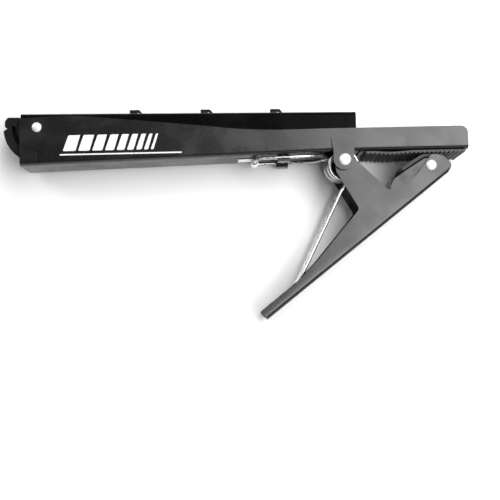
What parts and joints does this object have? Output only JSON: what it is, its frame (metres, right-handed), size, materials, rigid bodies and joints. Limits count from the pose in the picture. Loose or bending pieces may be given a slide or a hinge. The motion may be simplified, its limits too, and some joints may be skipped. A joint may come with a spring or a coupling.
{
  "type": "table tennis net clamp",
  "caption": "Clip-on net post clamp: spring-loaded jaw with squeeze handle grips a table edge, and a fold-out post with hooks holds the net.",
  "frame": {"origin": "centre of the bounding box in plan, on the surface the clamp lies on", "axes": "+X along the arm towards the jaw, +Y the way the raised post points, +Z along the pivots' axes, up out of the side face"},
  "size_m": [0.2056, 0.096, 0.0274],
  "materials": {
    "black_paint": "semi-gloss black powder coat",
    "post_paint": "semi-gloss black paint",
    "black_plastic": "moulded, satin",
    "shoe_plastic": "moulded, glossy",
    "black_rubber": "matte ribbed rubber",
    "spring_wire": "bright drawn wire",
    "plated_steel": "bright zinc plating"
  },
  "bodies": {
    "arm": {"arm_channel": "black_paint", "ribbed_strip": "black_rubber", "pivot_rivet": "plated_steel", "post_hinge_rivet": "plated_steel", "post_washer_near": "plated_steel", "post_washer_far": "plated_steel", "spring_strap": "black_paint", "strap_rivet": "plated_steel", "spring_anchor_clip": "plated_steel", "torsion_spring": "spring_wire"},
    "post": {"post_tube": "post_paint", "post_foot": "black_plastic", "post_end_cap": "black_plastic", "net_hook_1": "black_plastic", "net_hook_2": "black_plastic", "net_hook_3": "black_plastic"},
    "lever": {"lever": "black_paint", "jaw_shoe": "shoe_plastic", "shoe_rubber_pad": "black_rubber", "shoe_rivet": "plated_steel"}
  },
  "joints": [
    {"name": "post_fold", "type": "hinge", "parent": "arm", "child": "post", "pos_m": [-0.08761, 0.03887, 0.0137], "axis": [0, 0, 1], "range_deg": [0, 90.8]},
    {"name": "lever_open", "type": "hinge", "parent": "arm", "child": "lever", "pos_m": [0.04769, 0.02137, 0.0137], "axis": [0, 0, -1], "range_deg": [0, 42], "stiffness_Nm_per_rad": 1.2, "springref_deg": -51.57, "deforming": ["torsion_spring"]}
  ]
}
